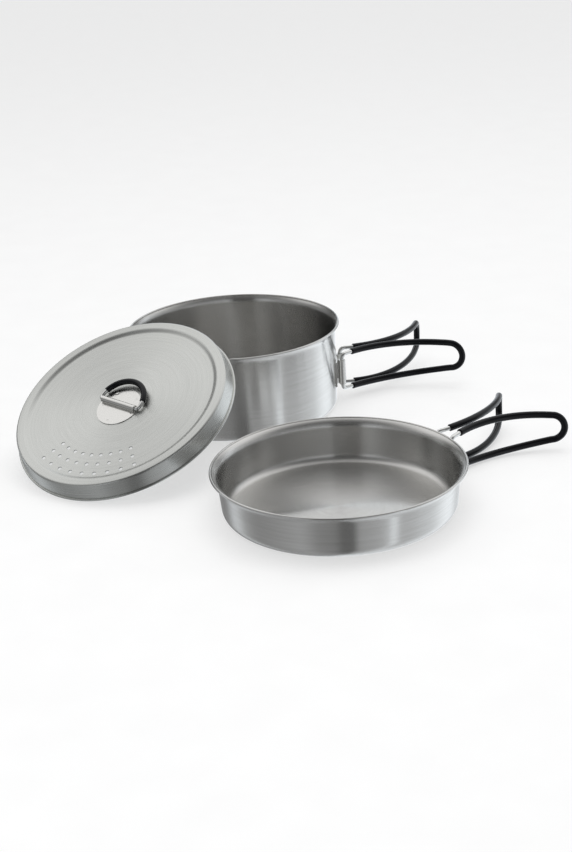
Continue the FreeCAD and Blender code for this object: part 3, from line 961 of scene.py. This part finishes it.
@dataclass
class CarryRing:
    """The lid's D ring, the barrel that it turns in and the round plate under it.

    raised, bare and the welds are angles in degrees; the feet are the strips beside the barrel.
    """

    seat: Matrix
    raised: float = 5.5
    plate_radius: float = 18.6 * MM
    plate: float = 0.6 * MM
    barrel_offset: float = -1.5 * MM
    barrel_level: float = 2.4 * MM
    barrel_radius: float = 2.6 * MM
    barrel_bore: float = 1.6 * MM
    barrel_half: float = 17.4 * MM
    wire_radius: float = 1.5 * MM
    sleeve_radius: float = 2.35 * MM
    sleeve_bore: float = 1.56 * MM
    bend: float = 2.3 * MM
    gap: float = 0.35 * MM
    pin: float = 8.0 * MM
    bare: float = 16.0
    plate_sides: int = 144
    plate_rings: int = 60
    ring_share: float = 0.012
    barrel_sides: int = 40
    barrel_steps: int = 40
    foot_inset: float = 0.45 * MM
    foot_width: float = 1.15 * MM
    foot_short: float = 0.6 * MM
    foot_sunk: float = 0.1 * MM
    foot_rise: float = 0.42 * MM
    weld_ring: float = 15.2 * MM
    weld_radius: float = 1.15 * MM
    weld_depth: float = 0.28 * MM
    welds: tuple = (-80, 2, 84, 139, -137)

    def plate_level(self, across: float, aside: float) -> float:
        """Find the top of the plate, which is dimpled at each weld.

        Args:
            across: the place's distance along the plate's X.
            aside: its distance along the plate's Y.

        Returns:
            The level there.
        """
        dip = 0.0
        for azimuth in self.welds:
            turn = math.radians(azimuth)
            away = math.hypot(across - self.weld_ring * math.cos(turn),
                              aside - self.weld_ring * math.sin(turn)) / self.weld_radius
            dip = max(dip, self.weld_depth * max(0.0, 1 - away ** 2))
        return self.plate - dip

    def build_plate(self) -> Object:
        """Make the plate and its barrel in the CAD bracket's place.

        Returns:
            The plate and barrel, as one piece.
        """
        bm = bmesh.new()
        reaches = [self.plate_radius * (1 - self.ring_share * step)
                   for step in range(self.plate_rings)]
        rim = [(self.plate_radius, 0.0), (self.plate_radius, self.plate - RIM_ROUNDING)]
        rows = []
        for reach, level in rim + [(reach - RIM_ROUNDING, None) for reach in reaches]:
            rows.append([bm.verts.new((
                reach * math.cos(turn), reach * math.sin(turn),
                self.plate_level(reach * math.cos(turn), reach * math.sin(turn))
                if level is None else level))
                for turn in turns(self.plate_sides)])
        joined(bm, rows)
        bm.faces.new(rows[-1])
        bm.faces.new(rows[0][::-1])
        path = [Vector((self.barrel_offset,
                        self.barrel_half * (2 * step / self.barrel_steps - 1),
                        self.barrel_level)) for step in range(self.barrel_steps + 1)]
        tube_rows(bm, path, [Vector((1, 0, 0))] * len(path), self.barrel_radius,
                  self.barrel_bore, BARREL_LIP, self.barrel_sides)
        for sign in (-1, 1):
            inner = self.barrel_offset + sign * (self.barrel_radius - self.foot_inset)
            outer = inner + sign * self.foot_width
            length = self.barrel_half - self.foot_short
            slab(bm, [[[Vector((reach, aside, self.plate - self.foot_sunk)),
                        Vector((reach, aside, self.plate + self.foot_rise))]
                       for aside in (-length, length)] for reach in (inner, outer)])
        bm.transform(self.seat)
        piece = finished("lid_ring_plate_and_barrel", bm, Finish.STRIP.material)
        return fitted(piece, "lid", "bracket", "lid_ring_bracket")

    def build_ring(self) -> list[Object]:
        """Make the D ring's wire and its sleeve in the CAD pieces' places.

        Returns:
            The wire and the sleeve.
        """
        hinge = self.seat @ Matrix.Translation((self.barrel_offset, 0, self.barrel_level))
        hinge = hinge @ Matrix.Rotation(math.radians(self.raised), 4, "Y")
        half = self.barrel_half + self.gap + self.bend
        corner = half - self.bend
        inner = self.barrel_half - self.pin

        def bow(angle: float) -> Vector:
            """Find a place on the bow.

            Args:
                angle: its angle from the bow's first end, in degrees.

            Returns:
                The place, in the hinge's frame.
            """
            turn = math.radians(angle)
            return Vector((-self.bend - half * math.sin(turn), -half * math.cos(turn), 0))

        def shank(sign: int) -> list[Vector]:
            """Draw the pin and the bend at one end.

            Args:
                sign: which end it is, -1 or +1.

            Returns:
                The points, from the pin's tip outwards.
            """
            straight = [Vector((0, sign * (inner + (corner - inner) * step / BAR_STEPS), 0))
                        for step in range(BAR_STEPS)]
            turned = [Vector((-self.bend + self.bend * math.cos(a),
                              sign * (corner + self.bend * math.sin(a)), 0))
                      for a in (math.radians(90 / EDGE_STEPS * step)
                                for step in range(EDGE_STEPS))]
            return straight + turned

        arch = [bow(180 / BOW_STEPS * step) for step in range(BOW_STEPS + 1)]
        path = shank(-1) + arch + shank(1)[::-1]
        wire = wire_piece("lid_ring_bent_wire", [hinge @ point for point in path],
                          self.wire_radius, LID_WIRE_RINGS, Finish.WIRE.material)
        covered = [bow(self.bare + (180 - 2 * self.bare) * step / SLEEVE_STEPS)
                   for step in range(SLEEVE_STEPS + 1)]
        upright = (hinge.to_3x3() @ Vector((0, 0, 1))).normalized()
        bm = bmesh.new()
        tube_rows(bm, [hinge @ point for point in covered], [upright] * len(covered),
                  self.sleeve_radius, self.sleeve_bore, TUBE_LIP)
        sleeve = finished("lid_ring_tubing", bm, Finish.TUBING.material)
        return [fitted(wire, "lid_ring", "wire", "lid_ring_wire"),
                fitted(sleeve, "lid_ring", "sleeve", "lid_ring_sleeve")]


# --- the studio ---

@dataclass
class Studio:
    """A pale floor, soft lights, the room that the steel mirrors, and the camera."""

    eye: tuple[float, float, float] = (0.03993, -1.24553, 0.47151)
    pitch: float = 21.577
    roll: float = 3.261
    lens: float = 64.872
    floor_colour: str = "B8B8B8"
    floor_shade: str = "B4B4B4"
    floor_glow: float = 0.56
    coolness: float = 0.09
    ceiling_shades: tuple[float, float] = (0.1, 1.0)
    ceiling_depth: tuple[float, float] = (-0.5, 0.4)
    wall_blend: tuple[float, float] = (0.02, 0.16)
    ceiling_blend: tuple[float, float] = (0.3, 0.62)

    def camera(self) -> None:
        """Stand the camera at its place."""
        data = bpy.data.cameras.new("camera")
        data.lens = self.lens
        data.clip_start = 0.05
        data.clip_end = 60
        camera = linked("camera", data)
        pitch, roll = math.radians(self.pitch), math.radians(self.roll)
        ahead = Vector((0, math.cos(pitch), -math.sin(pitch)))
        up = Vector((0, math.sin(pitch), math.cos(pitch)))
        side = Vector((1, 0, 0))
        tilted = side * math.cos(roll) - up * math.sin(roll)
        upward = side * math.sin(roll) + up * math.cos(roll)
        turned = Matrix((tilted, upward, -ahead)).transposed().to_4x4()
        camera.matrix_world = Matrix.Translation(self.eye) @ turned
        bpy.context.scene.camera = camera

    def floor(self) -> None:
        """Lay the floor. The steel mirrors the room rather than the floor."""
        bm = bmesh.new()
        bmesh.ops.create_grid(bm, x_segments=8, y_segments=8, size=9.0)
        made = PlainFinish("Matt studio paper", self.floor_colour, self.floor_shade, 0.0, 0.9,
                           40 * MM, 0.0).material()
        shader = made.node_tree.nodes["Principled BSDF"]
        shader.inputs["Emission Color"].default_value = linear("FFFFFF")
        shader.inputs["Emission Strength"].default_value = self.floor_glow
        shader.inputs["Specular IOR Level"].default_value = 0.0
        floor = finished("floor", bm, made)
        floor.visible_glossy = False

    def light(self, name: str, place: tuple, target: tuple, size: tuple, power: float) -> None:
        """Hang one soft box, which the steel doesn't mirror.

        Args:
            name: the light's name.
            place: where it hangs.
            target: the point that it faces.
            size: its width and height.
            power: its power in watts.
        """
        data = bpy.data.lights.new(name, "AREA")
        data.shape = "RECTANGLE"
        data.size, data.size_y = size
        data.energy = power
        lamp = linked(name, data)
        way = Vector(target) - Vector(place)
        lamp.matrix_world = (Matrix.Translation(place)
                             @ way.to_track_quat("-Z", "Y").to_matrix().to_4x4())
        lamp.visible_glossy = False

    def room(self) -> None:
        """Paint the room round the set: upright bright and dark walls under a pale ceiling."""
        world = bpy.data.worlds.new("studio room")
        bpy.context.scene.world = world
        world.use_nodes = True
        tree = world.node_tree
        way = add(tree, "ShaderNodeTexCoord")
        split = add(tree, "ShaderNodeSeparateXYZ", links={"Vector": way.outputs["Generated"]})
        turn = add(tree, "ShaderNodeMath", links={0: split.outputs[1], 1: split.outputs[0]},
                   operation="ARCTAN2")
        share = add(tree, "ShaderNodeMapRange", {"From Min": -math.pi, "From Max": math.pi},
                    {"Value": turn.outputs[0]})
        low_walls = self.banded(tree, share.outputs[0], self.walls())
        high_walls = self.banded(tree, share.outputs[0], self.high_walls())
        labels = ("From Min", "From Max", "To Min", "To Max")
        lift, height, ceiling = (
            add(tree, "ShaderNodeMapRange", dict(zip(labels, span + ends)),
                {"Value": split.outputs[axis]}, interpolation_type="SMOOTHSTEP").outputs[0]
            for axis, span, ends in ((2, self.wall_blend, (0.0, 1.0)),
                                     (2, self.ceiling_blend, (0.0, 1.0)),
                                     (1, self.ceiling_depth, self.ceiling_shades)))
        walls = add(tree, "ShaderNodeMix", links={
            "Factor": lift, 6: low_walls, 7: high_walls}, data_type="RGBA")
        painted = add(tree, "ShaderNodeMix", links={
            "Factor": height, 6: walls.outputs[2], 7: ceiling},
            data_type="RGBA")
        shine = tree.nodes["Background"]
        tree.links.new(painted.outputs[2], shine.inputs["Color"])
        shine.inputs["Strength"].default_value = 1.0

    def banded(self, tree: NodeTree, share: NodeSocket,
               stops: list[tuple[float, float]]) -> NodeSocket:
        """Paint upright bands round the room.

        Args:
            tree: the room's tree.
            share: how far round the room a direction is, from 0 to 1.
            stops: compass angle in degrees and brightness, from -180 to 180.

        Returns:
            The bands' colour.
        """
        bands = add(tree, "ShaderNodeValToRGB", links={"Fac": share})
        ramp = bands.color_ramp
        ramp.elements[0].position = 0.0
        ramp.elements[1].position = 1.0
        for azimuth, _ in stops[1:-1]:
            ramp.elements.new((azimuth + 180) / 360)
        for element, (_, shade) in zip(ramp.elements, stops):
            cool = self.coolness * min(shade, 1.0)
            element.color = (shade * (1 - cool), shade * (1 - cool / 2), shade, 1.0)
        return bands.outputs[0]

    @staticmethod
    def high_walls() -> list[tuple[float, float]]:
        """The upper half of the walls, which the insides of the vessels mirror."""
        return [(-180, 0.22), (-160, 0.28), (-140, 0.5), (-128, 0.75), (-119, 0.6), (-113, 0.08),
                (-91, 0.06), (-84, 0.7), (-60, 0.5), (-30, 0.36), (0, 0.4), (20, 0.6),
                (30, 0.95), (40, 0.6), (50, 0.26), (70, 0.45), (79, 1.0), (97, 1.0), (107, 0.1),
                (140, 0.12), (160, 0.2), (180, 0.22)]

    @staticmethod
    def walls() -> list[tuple[float, float]]:
        """The lower walls: compass angle in degrees from +X and the brightness there."""
        return [(-180, 0.3), (-150, 0.4), (-132, 0.46), (-116, 0.32), (-99, 0.28), (-90, 0.17),
                (-80, 0.14), (-74, 0.42), (-56, 0.5), (-45, 0.58), (-42, 1.25), (-38, 1.25),
                (-35, 0.62), (-20, 0.62), (-8, 0.76), (8, 0.85), (20, 1.2), (32, 1.4), (43, 1.4),
                (52, 0.9), (60, 0.75), (76, 1.4), (92, 1.4), (103, 0.5), (110, 0.3), (132, 0.3),
                (144, 0.95), (154, 0.8), (162, 0.4), (180, 0.3)]

    def build(self) -> None:
        """Set up the whole studio."""
        self.camera()
        self.floor()
        self.room()
        self.light("overhead box", (0.1, -0.15, 1.6), (0.05, -0.1, 0.0), (1.6, 1.2), 10.0)
        self.light("front fill", (-0.5, -1.9, 1.5), (0.0, -0.1, 0.05), (1.2, 0.8), 6.0)


# --- the set ---

def leaning(centre: Vector, lean: float, azimuth: float) -> Matrix:
    """Place a leaning disc: local X runs down its slope and local Z out of its top.

    Args:
        centre: the middle of its lower edge's plane.
        lean: how far it leans, in degrees.
        azimuth: which way it faces, in degrees from +X.

    Returns:
        The disc's frame.
    """
    lean, azimuth = math.radians(lean), math.radians(azimuth)
    level = Vector((math.cos(azimuth), math.sin(azimuth), 0))
    normal = level * math.sin(lean) + Vector((0, 0, math.cos(lean)))
    downhill = level * math.cos(lean) - Vector((0, 0, math.sin(lean)))
    across = normal.cross(downhill)
    turned = Matrix((downhill, across, normal)).transposed().to_4x4()
    return Matrix.Translation(centre) @ turned


def middle(node: str) -> Vector:
    """The middle of a CAD node's box, on the floor."""
    low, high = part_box(node)
    return Vector(((low[0] + high[0]) / 2, (low[1] + high[1]) / 2, 0.0))


def build_pot() -> None:
    """Build the pot, its bracket and its two handle loops."""
    seat = Matrix.Translation(middle("pot_shell"))
    shell = Vessel("pot", seat, height=74.2 * MM, rim_radius=90.0 * MM, wall_radius=86.4 * MM,
                   foot_radius=85.6 * MM, corner_radius=7.0 * MM, flare_height=7.0 * MM,
                   floor_step_radius=60.0 * MM, steel=TurnedSteel("Brushed stainless pot"))
    shell.build()
    turned = seat @ Matrix.Rotation(math.radians(3.1), 4, "Z")
    top, low = (43.0 * MM, 39.5 * MM, 0.0), (12.0 * MM, 16.7 * MM, 3.2 * MM)
    Bracket(shell, turned, 90.6 * MM, low=16.6 * MM, high=38.4 * MM).build()
    for side, opened in (("near", -44.7), ("far", 6.8)):
        WireLoop("pot", side, turned, 90.6 * MM, opened, 115.5 * MM, top, low).build()


def build_pan() -> None:
    """Build the pan, its bracket and its two handle loops."""
    seat = Matrix.Translation(middle("pan_shell"))
    shell = Vessel("pan", seat, height=35.0 * MM, rim_radius=94.1 * MM, wall_radius=88.4 * MM,
                   foot_radius=86.6 * MM, corner_radius=8.0 * MM, flare_height=8.0 * MM,
                   floor_step_radius=64.0 * MM, steel=TurnedSteel("Brushed stainless pan"))
    shell.build()
    turned = seat @ Matrix.Rotation(math.radians(32.5), 4, "Z")
    top, low = (31.0 * MM, 29.6 * MM, 1.9 * MM), (5.6 * MM, 9.0 * MM, 3.5 * MM)
    Bracket(shell, turned, 98.0 * MM, low=10.2 * MM, high=26.4 * MM).build()
    for side, opened in (("near", -20.8), ("far", -9.9)):
        WireLoop("pan", side, turned, 98.0 * MM, opened, 105.9 * MM, top, low).build()


def build_lid() -> None:
    """Build the leaning lid and its D ring."""
    lid = StrainerLid(Matrix(), TurnedSteel(
        "Satin stainless lid", light="CFD0CD", dark="C7C8C5", roughness=0.27, spread=0.9,
        groove=0.0002 * MM))
    lean = 27.17
    rise = ((lid.bead_outer - lid.bead_radius) * math.sin(math.radians(lean))
            + lid.bead_radius + 0.05 * MM)
    lid.seat = leaning(Vector((-85.8 * MM, -110.5 * MM, rise)), lean, 235.0)
    lid.build()
    on_panel = Matrix.Translation((5.2 * MM, 2.0 * MM, lid.panel_level))
    ring = CarryRing(lid.seat @ on_panel @ Matrix.Rotation(math.radians(-5.6), 4, "Z"))
    ring.build_plate()
    ring.build_ring()


def main() -> None:
    """Build the set and its studio."""
    logging.basicConfig(level=logging.INFO, format="%(message)s", stream=sys.stdout)
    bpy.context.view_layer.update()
    bpy.context.scene.view_settings.view_transform = "Standard"
    build_pot()
    build_pan()
    build_lid()
    Studio().build()


WIRE = rod_tree()
TURNING = turning_tree()
STRAINER = strainer_tree()

if __name__ == "__main__":
    main()
